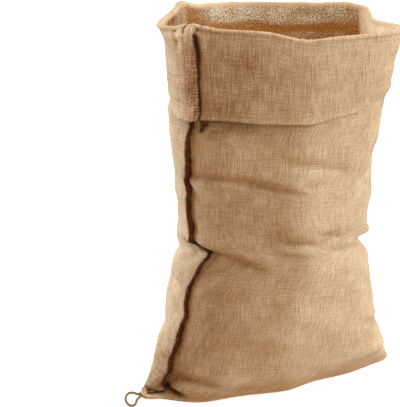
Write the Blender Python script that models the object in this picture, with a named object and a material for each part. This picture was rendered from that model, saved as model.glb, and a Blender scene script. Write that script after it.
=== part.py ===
"""Open jute sack standing on its own seamed bottom, its mouth turned down outwards into a deep cuff.

Metres, +Z up, standing on z = 0.  The cloth is one sheet: it starts at the bottom seam, runs out along the
floor, climbs the wall, rolls over the rim and comes down outside as the cuff.  A place on it is named by its
share of the way round the tube of cloth (0 at the side seam, going along the front first) and its height.
"""
import bpy
import numpy as np

# ------------------------------------------------------------------ sizes of the real sack (metres)
CLOTH = 0.0016                  # thickness of the woven jute
FLAT_WIDTH = 0.584              # the sack laid flat, side to side: half the way round its cloth
RIM_HEIGHT = 0.748              # mean height of the turned-over rim
ROLL = 0.0055                   # radius of the cloth's turn at the rim
CENTRE = (0.0338, -0.0037)       # middle of the standing sack in the plan of the tables below

# Plan of the wall at each height: an oval or a rounded box with its own turn.
#   height, mid x, mid y, half length, front depth, back depth, turn, squareness, front longer by
WALL = (
    (0.000, 0.036,  0.062, 0.279, 0.098, 0.078,   0.0, 1.35, 0.00),
    (0.015, 0.033,  0.056, 0.267, 0.114, 0.094,  -1.0, 1.50, 0.00),
    (0.050, 0.027,  0.048, 0.249, 0.134, 0.117,  -3.0, 1.75, 0.00),
    (0.100, 0.026,  0.037, 0.233, 0.143, 0.131,  -7.0, 2.00, 0.00),
    (0.150, 0.020,  0.028, 0.209, 0.149, 0.143, -12.0, 2.25, 0.00),
    (0.210, 0.017,  0.024, 0.202, 0.151, 0.146, -16.0, 2.40, 0.00),
    (0.270, 0.015,  0.019, 0.190, 0.154, 0.149, -20.0, 2.50, 0.00),
    (0.310, 0.010,  0.019, 0.179, 0.154, 0.150, -23.0, 2.50, 0.00),
    (0.345, 0.016,  0.014, 0.183, 0.156, 0.152, -25.0, 2.50, 0.00),
    (0.400, 0.016,  0.012, 0.187, 0.155, 0.151, -27.0, 2.50, 0.00),
    (0.470, 0.015,  0.011, 0.191, 0.151, 0.147, -27.0, 2.55, 0.03),
    (0.550, 0.015,  0.006, 0.199, 0.144, 0.140, -27.0, 2.60, 0.08),
    (0.620, 0.022,  0.002, 0.197, 0.139, 0.137, -27.0, 2.70, 0.14),
    (0.690, 0.023, -0.001, 0.200, 0.132, 0.132, -27.0, 2.85, 0.20),
    (0.760, 0.020,  0.000, 0.204, 0.126, 0.126, -27.0, 3.10, 0.26),
)

# Bearing of the side seam from the sack's left end, in degrees towards the front.
#   height, bearing
SEAM = (
    (0.000,  0.0), (0.040,  2.6), (0.110,  3.7), (0.160,  6.1), (0.200,  8.0), (0.250,  9.8),
    (0.275, 12.7), (0.298, 18.3), (0.314, 21.3), (0.322, 13.0), (0.332,  5.4), (0.360,  3.2),
    (0.420,  2.4), (0.450,  1.0), (0.480,  3.6), (0.530,  6.3), (0.570,  9.5), (0.610,  9.5),
    (0.650,  8.0), (0.690,  7.2), (0.760,  8.0),
)

# Soft creases in the wall, each straight between two places on the cloth.
#   share round, height, to share round, to height, depth, half width, overhang of the upper side
FOLDS = (
    (-0.020, 0.331, 0.150, 0.292, 0.014, 0.013, 1.0),
    ( 0.000, 0.458, 0.200, 0.445, 0.007, 0.011, 0.2),
    ( 0.165, 0.503, 0.290, 0.474, 0.004, 0.012, 0.2),
    ( 0.180, 0.340, 0.330, 0.345, 0.006, 0.016, 0.2),
    ( 0.320, 0.328, 0.480, 0.309, 0.016, 0.011, 0.3),
    ( 0.480, 0.309, 0.620, 0.322, 0.012, 0.014, 0.3),
    ( 0.380, 0.172, 0.520, 0.150, 0.005, 0.012, 0.3),
    ( 0.640, 0.470, 0.860, 0.440, 0.007, 0.014, 0.2),
    ( 0.700, 0.250, 0.900, 0.300, 0.008, 0.015, 0.4),
    ( 0.860, 0.160, 0.980, 0.110, 0.006, 0.012, 0.3),
)

# The mouth, uneven all the way round.
#   share round, rim above its mean height, height of the cuff's lower edge
MOUTH = (
    (0.000,  0.007, 0.576), (0.050,  0.001, 0.579), (0.120, -0.004, 0.575), (0.190, -0.019, 0.575),
    (0.240, -0.012, 0.584), (0.300, -0.009, 0.591), (0.380, -0.017, 0.598), (0.440, -0.022, 0.600),
    (0.475, -0.018, 0.600), (0.510,  0.002, 0.600), (0.590,  0.006, 0.598), (0.720,  0.008, 0.592),
    (0.820,  0.014, 0.588), (0.880,  0.009, 0.585), (0.930, -0.002, 0.580), (1.000,  0.007, 0.576),
)

# Loop of the bottom seam's twine, which leaves the left corner of the seam and comes back to it.
TWINE = 0.0040                  # diameter of the twisted twine
#   x, y, z along its middle
LOOP = (
    (-0.2763, 0.0637, 0.0030), (-0.2815, 0.0597, 0.0040), (-0.2873, 0.0520, 0.0055),
    (-0.2945, 0.0420, 0.0073), (-0.3030, 0.0310, 0.0082), (-0.3105, 0.0215, 0.0045),
    (-0.3190, 0.0210, 0.0023), (-0.3240, 0.0290, 0.0056), (-0.3245, 0.0370, 0.0104),
    (-0.3195, 0.0438, 0.0165), (-0.3116, 0.0450, 0.0200), (-0.3041, 0.0430, 0.0198),
    (-0.2972, 0.0450, 0.0172), (-0.2905, 0.0530, 0.0140), (-0.2833, 0.0615, 0.0110),
    (-0.2752, 0.0669, 0.0083),
)


# ------------------------------------------------------------------ shape of the cloth
def column(table, at, col):
    """One column of a table at any place: a smooth curve through its rows that never overshoots them."""
    x = np.array([row[0] for row in table])
    y = np.array([row[col] for row in table])
    step = np.diff(y) / np.diff(x)
    slope = np.zeros(len(x))
    same = step[1:] * step[:-1] > 0.0
    slope[1:-1][same] = 2.0 * step[1:][same] * step[:-1][same] / (step[1:][same] + step[:-1][same])
    at = np.clip(at, x[0], x[-1])
    k = np.clip(np.searchsorted(x, at) - 1, 0, len(x) - 2)
    h = x[k + 1] - x[k]
    s = (at - x[k]) / h
    return ((1 + 2 * s) * (1 - s) ** 2 * y[k] + s * (1 - s) ** 2 * h * slope[k]
            + s * s * (3 - 2 * s) * y[k + 1] + s * s * (s - 1) * h * slope[k + 1])


def soft(x):
    """0 below 0, 1 above 1, and a smooth ramp between."""
    x = np.clip(x, 0.0, 1.0)
    return x * x * (3.0 - 2.0 * x)


def shares():
    """Grid places round the sack: close together beside the side seam, even elsewhere, the same both ways."""
    near = np.array((0.0, 0.003, 0.008, 0.014, 0.024)) / (2.0 * FLAT_WIDTH)
    half = np.concatenate((near, np.linspace(near[-1], 0.5, 28)[1:]))
    return np.concatenate((half, 1.0 - half[-2:0:-1]))


def ring(height, around):
    """Plan points of the wall at one height, spaced by length along the cloth from the side seam."""
    mid_x, mid_y, half, front, back, turn, square, longer = (column(WALL, height, c) for c in range(1, 9))
    t = np.linspace(0.0, 2.0 * np.pi, 1441)[:-1]
    p = -np.sign(np.cos(t)) * np.abs(np.cos(t)) ** (2.0 / square) * half
    q = -np.sign(np.sin(t)) * np.abs(np.sin(t)) ** (2.0 / square)
    p = p * (1.0 - longer * q)
    q = np.where(q < 0.0, q * front, q * back)
    a = np.radians(turn)
    x, y = p * np.cos(a) - q * np.sin(a), p * np.sin(a) + q * np.cos(a)
    start = int(np.argmin(np.abs(np.degrees(np.arctan2(-y, -x)) - column(SEAM, height, 1))))
    x, y = np.roll(x, -start), np.roll(y, -start)
    x, y = np.append(x, x[0]), np.append(y, y[0])
    run = np.concatenate(([0.0], np.cumsum(np.hypot(np.diff(x), np.diff(y)))))
    return mid_x + np.interp(around * run[-1], run, x), mid_y + np.interp(around * run[-1], run, y)


def outward(x, y):
    """Level unit normals of a closed plan curve, pointing away from the sack."""
    dx, dy = np.roll(x, -1) - np.roll(x, 1), np.roll(y, -1) - np.roll(y, 1)
    length = np.hypot(dx, dy)
    return dy / length, -dx / length


def from_seam(u):
    """Distance along the cloth from the side seam, negative behind it."""
    return ((u + 0.5) % 1.0 - 0.5) * 2.0 * FLAT_WIDTH


def fold_relief(u, z):
    """How far out of its even surface each crease of the table moves the cloth."""
    total = np.zeros_like(u)
    for u0, z0, u1, z1, depth, width, hang in FOLDS:
        run_u, run_z = (u1 - u0) * 2.0 * FLAT_WIDTH, z1 - z0
        length = np.hypot(run_u, run_z)
        du, dz = from_seam(u - (u0 + u1) / 2.0), z - (z0 + z1) / 2.0
        along = (du * run_u + dz * run_z) / length
        d = (dz * run_u - du * run_z) / length / width
        fade = soft((length / 2.0 - np.abs(along)) / (0.35 * length) + 0.5)
        trough = -np.exp(-d * d) * (1.0 - 0.5 * hang)
        step = np.tanh(1.6 * d) * np.exp(-np.abs(d) / 2.2) * hang
        total += depth * fade * (trough + step)
    return total


def seam_relief(u, z):
    """Side seam on the wall: a narrow groove behind a raised left lip, shallower near the floor."""
    s = from_seam(u)
    groove = -0.011 * soft((s + 0.001) / 0.005) * soft((0.018 - s) / 0.010)
    lip = 0.003 * np.exp(-((s + 0.005) / 0.006) ** 2)
    return (groove + lip) * soft(z / 0.05) * (0.75 + 0.25 * soft((z - 0.25) / 0.10))


def floor_rows(u):
    """Rows of the cloth that lies on the floor, from the bottom seam out to the foot of the wall."""
    foot_x, foot_y = ring(0.0, u)
    k = int(np.argmin(np.abs(u - 0.5)))
    share = 1.0 - np.abs(1.0 - 2.0 * u)
    seam_x = foot_x[0] + (foot_x[k] - foot_x[0]) * share
    seam_y = foot_y[0] + (foot_y[k] - foot_y[0]) * share
    for s in (0.0, 0.5):
        yield np.stack((seam_x + (foot_x - seam_x) * s, seam_y + (foot_y - seam_y) * s, 0.0 * u), -1)


def wall_rows(u, rim):
    """Rows of the wall, from the foot to just under the rim."""
    for h in (0.0, 0.006, 0.018, 0.038, 0.065, 0.100, 0.135, 0.165, 0.195, 0.225, 0.252, 0.274, 0.292, 0.304,
              0.315, 0.327, 0.342, 0.368, 0.400, 0.436, 0.456, 0.490, 0.540, 0.600, 0.670, 0.730):
        x, y = ring(h, u)
        nx, ny = outward(x, y)
        z = h + (rim - RIM_HEIGHT) * soft((h - 0.50) / 0.24)
        out = (fold_relief(u, z) + seam_relief(u, z)) * soft((h - 0.012) / 0.03) * soft((0.60 - h) / 0.05)
        yield np.stack((x + nx * out, y + ny * out, z), -1)


def rim_rows(u, rim):
    """Rows over the turn of the cloth at the rim: a half circle standing on the top of the wall."""
    x, y = ring(0.742, u)
    nx, ny = outward(x, y)
    for deg in (35.0, 90.0, 145.0):
        out = ROLL * (1.0 - np.cos(np.radians(deg)))
        yield np.stack((x + nx * out, y + ny * out, rim - ROLL * (1.0 - np.sin(np.radians(deg)))), -1)


def cuff_rows(u, rim, low):
    """Rows of the cuff, down the outside of the wall to its free lower edge, with the seam's ridge."""
    s = from_seam(u)
    ridge = 0.006 * soft((s + 0.012) / 0.008) * soft((0.020 - s) / 0.006)
    for share in (0.08, 0.25, 0.45, 0.65, 0.84, 1.0):
        z = (rim - 0.008) * (1.0 - share) + low * share
        row = np.empty((len(u), 3))
        for i, h in enumerate(z):
            x, y = ring(h, u)
            nx, ny = outward(x, y)
            out = 0.008 + 0.004 * share + ridge[i]
            row[i] = x[i] + nx[i] * out, y[i] + ny[i] * out, h
        yield row


def sheet_mesh(name, grid, half):
    """Mesh of the sheet, closed round the sack; its first row joins the front half to the back half."""
    rows, around = grid.shape[:2]
    index = np.arange(rows * around).reshape(rows, around)
    index[0, half + 1:] = index[0, half - 1:0:-1]
    faces = []
    for j in range(rows - 1):
        for i in range(around):
            k = (i + 1) % around
            face = [index[j, i], index[j, k], index[j + 1, k], index[j + 1, i]]
            faces.append(face if len(set(face)) == 4 else list(dict.fromkeys(face)))
    used = np.unique(np.concatenate([np.array(f) for f in faces]))
    place = np.full(rows * around, -1)
    place[used] = np.arange(len(used))
    mesh = bpy.data.meshes.new(name)
    mesh.from_pydata(grid.reshape(-1, 3)[used].tolist(), [], [[int(place[v]) for v in f] for f in faces])
    mesh.shade_smooth()
    return mesh


def material(name, colour, roughness):
    """Plain dull material in the piece's own colour."""
    mat = bpy.data.materials.new(name)
    mat.use_nodes = True
    shader = mat.node_tree.nodes["Principled BSDF"]
    shader.inputs["Base Color"].default_value = (*colour, 1.0)
    shader.inputs["Roughness"].default_value = roughness
    shader.inputs["Metallic"].default_value = 0.0
    return mat


for old in list(bpy.data.objects):
    bpy.data.objects.remove(old)

# ------------------------------------------------------------------ sack: one sheet of woven jute
round_u = shares()
rim_z = RIM_HEIGHT + column(MOUTH, round_u, 1)
cuff_z = column(MOUTH, round_u, 2)
cloth = np.array([*floor_rows(round_u), *wall_rows(round_u, rim_z), *rim_rows(round_u, rim_z),
                  *cuff_rows(round_u, rim_z, cuff_z)])
cloth -= (*CENTRE, -CLOTH / 2.0)
sack = bpy.data.objects.new("sack_cloth", sheet_mesh("sack_cloth", cloth, len(round_u) // 2))
sack.data.materials.append(material("woven_jute", (0.46, 0.30, 0.17), 0.92))
bpy.context.collection.objects.link(sack)
thick = sack.modifiers.new("cloth thickness", "SOLIDIFY")
thick.thickness = CLOTH
thick.offset = 0.0

# ------------------------------------------------------------------ twine loop at the end of the bottom seam
curve = bpy.data.curves.new("twine_loop", "CURVE")
curve.dimensions = "3D"
curve.bevel_depth = TWINE / 2.0
curve.bevel_resolution = 2
curve.use_fill_caps = True
spline = curve.splines.new("POLY")
spline.points.add(len(LOOP) - 1)
for point, (x, y, z) in zip(spline.points, LOOP):
    point.co = (x, y, z, 1.0)
curve.materials.append(material("jute_twine", (0.20, 0.13, 0.08), 0.95))
bpy.context.collection.objects.link(bpy.data.objects.new("twine_loop", curve))
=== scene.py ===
"""Open jute sack standing on its bottom seam, its mouth turned down outwards into a deep cuff."""

import bpy
import numpy as np
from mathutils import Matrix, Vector


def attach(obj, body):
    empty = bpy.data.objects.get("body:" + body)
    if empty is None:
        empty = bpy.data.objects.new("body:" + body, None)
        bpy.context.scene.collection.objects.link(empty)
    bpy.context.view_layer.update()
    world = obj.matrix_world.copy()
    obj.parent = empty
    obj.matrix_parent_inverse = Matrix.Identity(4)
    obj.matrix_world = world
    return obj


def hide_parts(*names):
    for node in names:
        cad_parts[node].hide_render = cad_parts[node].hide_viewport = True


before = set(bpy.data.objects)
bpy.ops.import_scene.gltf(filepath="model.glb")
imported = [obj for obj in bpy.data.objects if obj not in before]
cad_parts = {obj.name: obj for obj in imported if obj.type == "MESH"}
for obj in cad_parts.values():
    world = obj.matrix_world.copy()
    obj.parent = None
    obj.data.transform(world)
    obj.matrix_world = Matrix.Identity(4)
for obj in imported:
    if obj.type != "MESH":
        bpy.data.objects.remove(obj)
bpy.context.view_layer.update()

# ------------------------ camera
# A long lens a little above the rim looks down at the sack from its left front, so the open mouth shows.
CAMERA_AT = Vector((-1.6001, -3.0703, 1.3608))
CAMERA_AIM = Vector((-0.1528, 0.0617, 0.3828))
FRAME_HIGH = 407.0  # pixels of the render's long side
PIXELS_A_RADIAN = 1838.0
SENSOR = 36.0

camera = bpy.data.objects.new("camera", bpy.data.cameras.new("camera"))
camera.data.sensor_width = SENSOR
camera.data.lens = SENSOR * PIXELS_A_RADIAN / FRAME_HIGH
camera.location = CAMERA_AT
camera.rotation_euler = (CAMERA_AIM - CAMERA_AT).to_track_quat("-Z", "Y").to_euler()
bpy.context.collection.objects.link(camera)
bpy.context.scene.camera = camera

# ------------------------ twine loop of the bottom seam
# The two-ply jute twine that sews the bottom seam shut.  Its spare end leaves the left corner of the sack in
# a loose loop on the floor and goes back into the same corner, where it is tucked under the last stitch.
TWINE = 0.0040  # diameter of the twisted twine
TWINE_LOFT = 1.3  # how much thicker its loose fibres make it look
TWINE_LAY = 0.0105  # length of one full turn of its two plies
PLY_GROOVE = 0.22  # how deep its plies part, as a share of its radius
TWINE_LENGTH = 0.151
TWINE_DARK, TWINE_PALE = "#5A3E26", "#B79A76"
#   x, y, z along its middle
LOOP = (
    (-0.2763, 0.0637, 0.003), (-0.2815, 0.0597, 0.004), (-0.2873, 0.052, 0.0055), (-0.2945, 0.042, 0.0073),
    (-0.303, 0.031, 0.0082), (-0.3105, 0.0215, 0.0045), (-0.319, 0.021, 0.0029), (-0.324, 0.029, 0.0056),
    (-0.3245, 0.037, 0.0104), (-0.3195, 0.0438, 0.0165), (-0.3116, 0.045, 0.02), (-0.3041, 0.043, 0.0192),
    (-0.2972, 0.045, 0.015), (-0.2905, 0.053, 0.0108), (-0.2833, 0.0615, 0.008), (-0.2752, 0.0669, 0.007),
)


def linear(colour):
    """An sRGB hex colour as linear red, green, blue and alpha."""
    c = np.array([int(colour[i:i + 2], 16) for i in (1, 3, 5)]) / 255.0
    return (*np.where(c <= 0.04045, c / 12.92, ((c + 0.055) / 1.055) ** 2.4), 1.0)


def add(tree, kind, ins=(), out=0, **settings):
    """Adds one node with its settings; ins gives its inputs, by name or number, as sockets, values or hex
    colours."""
    node = tree.nodes.new("ShaderNode" + kind)
    for name, value in settings.items():
        setattr(node, name, value)
    for key, value in (ins.items() if isinstance(ins, dict) else enumerate(ins)):
        if isinstance(value, bpy.types.NodeSocket):
            tree.links.new(value, node.inputs[key])
        else:
            node.inputs[key].default_value = linear(value) if isinstance(value, str) else value
    return node.outputs[out]


def finish_of(name, values):
    """A new material, its node tree and its shader with the given values."""
    mat = bpy.data.materials.new(name)
    mat.use_nodes = True
    shader = mat.node_tree.nodes["Principled BSDF"]
    for key, value in values.items():
        shader.inputs[key].default_value = value
    return mat, mat.node_tree, shader


def cubic(s, start, end, start_slope, end_slope, h=1.0):
    """The cubic from start to end over a step h with the given slopes at its ends; s runs from 0 to 1."""
    return ((1 + 2 * s) * (1 - s) ** 2 * start + s * (1 - s) ** 2 * h * start_slope
            + s * s * (3 - 2 * s) * end + s * s * (s - 1) * h * end_slope)


def spline_through(points, count):
    """Points along a smooth curve through the given ones: each stretch is the cubic whose slopes at its ends
    are half the step between that end's neighbours, read off at even shares of the chord length."""
    p = np.asarray(points, float)
    slope = np.gradient(p, axis=0)
    run = np.concatenate(([0.0], np.cumsum(np.linalg.norm(np.diff(p, axis=0), axis=1))))
    at = np.linspace(0.0, run[-1], count)
    k = np.clip(np.searchsorted(run, at) - 1, 0, len(p) - 2)
    s = ((at - run[k]) / (run[k + 1] - run[k]))[:, None]
    return cubic(s, p[k], p[k + 1], slope[k], slope[k + 1])


def frames_along(path):
    """Two level-carried unit vectors across a path at each of its points: the first starts square to the path
    and is turned along it without twist, the second is square to both."""
    tangent = np.gradient(path, axis=0)
    tangent /= np.linalg.norm(tangent, axis=1, keepdims=True)
    side = np.empty_like(path)
    v = np.cross(tangent[0], (0.13, 0.21, 0.97))
    for i, t in enumerate(tangent):
        v = v - t * (v @ t)
        v = v / np.linalg.norm(v)
        side[i] = v
    return side, np.cross(tangent, side)


def ring_faces(rows, around):
    """Four-sided faces between the rows of a grid of points whose rows close into rings."""
    index = np.arange(rows * around).reshape(rows, around)
    nxt = np.roll(index, -1, 1)
    return np.stack((index[:-1], nxt[:-1], nxt[1:], index[1:]), -1).reshape(-1, 4)


def mesh_from(name, points, faces):
    """A smooth shaded mesh from arrays of points and four-sided faces."""
    mesh = bpy.data.meshes.new(name)
    mesh.vertices.add(len(points))
    mesh.vertices.foreach_set("co", np.ascontiguousarray(points, np.float32).ravel())
    mesh.loops.add(faces.size)
    mesh.loops.foreach_set("vertex_index", faces.astype(np.int32).ravel())
    mesh.polygons.add(len(faces))
    mesh.polygons.foreach_set("loop_start", np.arange(0, faces.size, 4, dtype=np.int32))
    mesh.update(calc_edges=True)
    mesh.validate()
    mesh.shade_smooth()
    return mesh


def tube(path, radius, around, turns=0.0, ply=0.0):
    """Points and faces of a tube with closed ends: rings carried along the path, whose radius swells and
    sinks twice round by the given ply share, the swell turning evenly to the given number of turns."""
    side, up = frames_along(path)
    a = np.linspace(0.0, 2.0 * np.pi, around, endpoint=False)[None, :]
    twist = np.linspace(0.0, 2.0 * np.pi * turns, len(path))[:, None]
    r = (radius * (1.0 - ply + ply * np.abs(np.cos(a - twist)) * 1.6))[..., None]
    rings = path[:, None] + r * (np.cos(a)[..., None] * side[:, None] + np.sin(a)[..., None] * up[:, None])
    first, last = (np.repeat(path[k][None, None], around, 1) for k in (0, -1))
    grid = np.concatenate((first, rings, last))
    return grid.reshape(-1, 3), ring_faces(len(grid), around)[:, ::-1]


def piece(name, points, faces, material, slot):
    """A finished object at the origin, riding on the sack's one body."""
    obj = bpy.data.objects.new(name, mesh_from(name, points, faces))
    obj.data.materials.append(material)
    bpy.context.collection.objects.link(obj)
    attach(obj, "root")
    return obj


def spun_jute(name, dark, pale, coarse):
    """Spun jute: dull hairy bast fibre, without gloss, streaked light and dark at the given coarseness."""
    mat, tree, shader = finish_of(name, {"Roughness": 0.9, "Specular IOR Level": 0.15, "Sheen Weight": 0.1})
    place = add(tree, "TexCoord", out=3)
    streak = add(tree, "TexNoise", {"Vector": place, "Scale": coarse, "Detail": 3.0, "Roughness": 0.6})
    colour = add(tree, "MixRGB", (streak, dark, pale))
    tree.links.new(colour, shader.inputs["Base Color"])
    bump = add(tree, "Bump", {"Height": streak, "Strength": 0.5, "Distance": 0.0006})
    tree.links.new(bump, shader.inputs["Normal"])
    return mat


twine = spun_jute("jute_twine", TWINE_DARK, TWINE_PALE, 420.0)
loop_path = spline_through(LOOP, 150)
loop_tube = tube(loop_path, TWINE_LOFT * TWINE / 2.0, 14, TWINE_LENGTH / TWINE_LAY, PLY_GROOVE)
loop = piece("twine_loop_of_seam", *loop_tube, twine, "jute_twine")
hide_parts("twine_loop")

# ------------------------ sack: one sheet of woven jute
# Plain woven jute (hessian), sewn into a tube along one side and shut along the bottom.  The sheet runs out
# over the floor from the bottom seam, climbs the wall, turns over the rim and comes down outside as the cuff.
# Every place on it is its share round the tube, from the side seam along the front, and its height.
CLOTH = 0.0016  # thickness of the woven jute
FLAT_WIDTH = 0.584  # the sack laid flat, side to side
RIM_HEIGHT = 0.748
ROLL = 0.0055  # radius of the cloth's turn at the rim
AROUND = 2.0 * FLAT_WIDTH
WALL_TOP = 0.742  # height at which the wall's plan is read for the rim
CENTRE = (0.0338, -0.0037)  # middle of the standing sack's box in the tables below
INNER_SPREAD = 2.2  # how much wider the coarse inner side's creases are
INNER_GROOVE = 0.4  # the share of the seam's groove that it follows
INNER_CLEAR = 0.0045  # how far it keeps inside the creased outer one
SEAM_CLEAR = 0.006  # how much further along the seam
CORNER_CLEAR = 0.016  # how much further at the tucked bottom corner
CUFF_OFF, EDGE_OFF = 0.0080, 0.0040  # how far the cuff stands off the wall, and its edge further
HEM = 0.0022  # how far the cuff's edge curls out, or in where it lies close

# Plan of the wall at each height: an oval or a rounded box with its own turn.
#   height, mid x, mid y, half length, front depth, back depth, turn, squareness, front longer by
WALL = (
    (0.000, 0.036,  0.062, 0.279, 0.098, 0.078,   0.0, 1.35, 0.00),
    (0.015, 0.033,  0.056, 0.267, 0.114, 0.094,  -1.0, 1.50, 0.00),
    (0.050, 0.027,  0.048, 0.249, 0.134, 0.117,  -3.0, 1.75, 0.00),
    (0.100, 0.026,  0.037, 0.233, 0.143, 0.131,  -7.0, 2.00, 0.00),
    (0.150, 0.020,  0.028, 0.209, 0.149, 0.143, -12.0, 2.25, 0.00),
    (0.210, 0.017,  0.024, 0.202, 0.151, 0.146, -16.0, 2.40, 0.00),
    (0.270, 0.015,  0.019, 0.190, 0.154, 0.149, -20.0, 2.50, 0.00),
    (0.310, 0.010,  0.019, 0.179, 0.154, 0.150, -23.0, 2.50, 0.00),
    (0.345, 0.016,  0.014, 0.183, 0.156, 0.152, -25.0, 2.50, 0.00),
    (0.400, 0.016,  0.012, 0.187, 0.155, 0.151, -27.0, 2.50, 0.00),
    (0.470, 0.015,  0.011, 0.191, 0.151, 0.147, -27.0, 2.55, 0.03),
    (0.550, 0.015,  0.006, 0.199, 0.144, 0.140, -27.0, 2.60, 0.08),
    (0.620, 0.022,  0.002, 0.197, 0.139, 0.137, -27.0, 2.70, 0.14),
    (0.690, 0.023, -0.001, 0.200, 0.132, 0.132, -27.0, 2.85, 0.20),
    (0.760, 0.020,  0.000, 0.204, 0.126, 0.126, -27.0, 3.10, 0.26),
)

# Bearing of the side seam from the sack's left end, in degrees towards the front, how wide its groove opens,
# and how far round its lip is carried at the bottom, where the left panel ends in a rounded flap.
#   height, bearing, gap of the groove, lip carried round
SEAM = (
    (0.0, 0.0, 0.5, 0.022), (0.018, 1.4, 0.5, 0.024), (0.029, 2.1, 0.65, 0.017), (0.04, 4.4, 0.65, 0.006),
    (0.052, 6.0, 0.6, 0.0), (0.068, 7.0, 0.65, 0.0), (0.097, 6.4, 0.6, 0.0), (0.111, 6.7, 0.7, 0.0),
    (0.136, 6.7, 0.65, 0.0), (0.16, 7.9, 0.6, 0.0), (0.186, 10.2, 0.5, 0.0), (0.226, 10.2, 0.55, 0.0),
    (0.25, 12.5, 0.45, 0.0), (0.275, 15.8, 0.52, 0.0), (0.298, 20.2, 0.68, 0.0), (0.314, 23.6, 0.74, 0.0),
    (0.322, 17.5, 0.85, 0.0), (0.332, 11.9, 0.85, 0.0), (0.345, 10.9, 0.55, 0.0), (0.367, 8.9, 0.75, 0.0),
    (0.392, 6.8, 0.65, 0.0), (0.41, 6.7, 0.7, 0.0), (0.428, 8.2, 0.75, 0.0), (0.438, 7.4, 0.7, 0.0),
    (0.45, 4.4, 0.45, 0.0), (0.465, 6.9, 0.7, 0.0), (0.489, 8.1, 0.75, 0.0), (0.515, 7.7, 0.7, 0.0),
    (0.54, 8.3, 0.65, 0.0), (0.564, 10.2, 0.6, 0.0), (0.58, 9.2, 0.65, 0.0), (0.61, 8.6, 0.7, 0.0),
    (0.65, 8.0, 0.7, 0.0), (0.69, 7.2, 0.7, 0.0), (0.76, 8.0, 0.7, 0.0),
)

# Soft ridges that stand up the cloth: one down the front, where it turns from the seam's side to the right,
# and the two corners of the mouth's back, which are pinched.
#   height, distance round from the seam, rise, half width
FRONT_RIDGE = (
    (0.0, 0.215, 0.0, 0.06), (0.06, 0.215, 0.007, 0.06), (0.16, 0.22, 0.01, 0.052),
    (0.3, 0.225, 0.011, 0.045), (0.44, 0.225, 0.011, 0.045), (0.56, 0.228, 0.01, 0.052),
    (0.65, 0.232, 0.0095, 0.062), (0.73, 0.235, 0.004, 0.07), (0.76, 0.235, 0.002, 0.07),
)
BACK_LEFT_PINCH = (
    (0.56, -0.19, 0.0, 0.03), (0.62, -0.195, 0.005, 0.028), (0.68, -0.198, 0.008, 0.024),
    (0.76, -0.202, 0.006, 0.021),
)
BACK_RIGHT_PINCH = (
    (0.56, 0.56, 0.0, 0.03), (0.62, 0.565, 0.006, 0.028), (0.68, 0.575, 0.01, 0.024),
    (0.76, 0.58, 0.01, 0.022),
)

# The mouth, uneven all the way round.
#   share round, rim above its mean height, height of the cuff's lower edge
MOUTH = (
    (0.0, 0.008, 0.576), (0.018, 0.006, 0.578), (0.05, 0.0, 0.579), (0.12, -0.004, 0.575),
    (0.19, -0.018, 0.575), (0.24, -0.012, 0.584), (0.3, -0.008, 0.591), (0.345, -0.006, 0.596),
    (0.38, -0.006, 0.598), (0.402, -0.008, 0.6), (0.428, -0.011, 0.6), (0.454, -0.013, 0.6),
    (0.478, -0.011, 0.6), (0.486, -0.004, 0.6), (0.494, 0.006, 0.6), (0.501, 0.0075, 0.6),
    (0.529, 0.012, 0.6), (0.555, 0.01, 0.599), (0.58, 0.007, 0.598), (0.72, 0.008, 0.592),
    (0.79, 0.01, 0.589), (0.8, 0.013, 0.588), (0.829, 0.021, 0.587), (0.846, 0.014, 0.586),
    (0.862, 0.01, 0.586), (0.88, 0.006, 0.585), (0.93, -0.002, 0.58), (0.975, 0.001, 0.577),
    (1.0, 0.008, 0.576),
)

# Soft creases in the wall, each straight between two places on the cloth.
#   share round, height, to share round, to height, depth, half width, overhang of the upper side
FOLDS = (
    (-0.02, 0.336, 0.024, 0.318, 0.015, 0.008, 1.0), (0.004, 0.327, 0.112, 0.289, 0.01, 0.01, 1.0),
    (0.0, 0.463, 0.1, 0.463, 0.006, 0.009, 0.4), (0.095, 0.461, 0.205, 0.44, 0.007, 0.009, 0.3),
    (0.165, 0.503, 0.29, 0.474, 0.005, 0.011, 0.3), (0.315, 0.455, 0.362, 0.476, 0.005, 0.009, 0.3),
    (0.18, 0.34, 0.33, 0.345, 0.006, 0.016, 0.2), (0.162, 0.345, 0.214, 0.338, 0.006, 0.008, 0.4),
    (0.222, 0.36, 0.268, 0.348, 0.004, 0.009, 0.3), (0.32, 0.328, 0.48, 0.309, 0.016, 0.011, 0.3),
    (0.48, 0.309, 0.62, 0.322, 0.012, 0.014, 0.3), (0.38, 0.172, 0.52, 0.15, 0.005, 0.012, 0.3),
    (0.905, 0.24, 0.975, 0.231, 0.005, 0.007, 0.4), (0.52, 0.52, 0.66, 0.5, 0.006, 0.014, 0.2),
    (0.64, 0.47, 0.86, 0.44, 0.007, 0.014, 0.2), (0.74, 0.36, 0.93, 0.395, 0.007, 0.013, 0.3),
    (0.7, 0.25, 0.9, 0.3, 0.008, 0.015, 0.4), (0.55, 0.24, 0.72, 0.2, 0.007, 0.015, 0.3),
    (0.6, 0.12, 0.8, 0.09, 0.005, 0.012, 0.3), (0.86, 0.16, 0.98, 0.11, 0.006, 0.012, 0.3),
    (0.004, 0.06, 0.1, 0.036, 0.01, 0.009, 0.5),
)

# Section across the side seam on the wall: the left panel's folded lip stands proud and overhangs a groove.
#   distance round from the seam, slide round the sack, distance outwards
GROOVE = (
    (-0.075, 0.0, 0.0), (-0.05, 0.0, 0.002), (-0.03, 0.0, 0.0054), (-0.015, 0.0, 0.0094),
    (-0.006, 0.0003, 0.012), (-0.002, 0.0012, 0.0126), (-0.0004, 0.002, 0.011), (0.0007, 0.0014, 0.006),
    (0.002, -0.0008, 0.0008), (0.004, -0.002, -0.0026), (0.007, -0.0012, -0.0038), (0.011, 0.0, -0.0032),
    (0.016, 0.0, -0.0016), (0.023, 0.0, -0.0004), (0.032, 0.0, 0.0),
)

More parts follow.
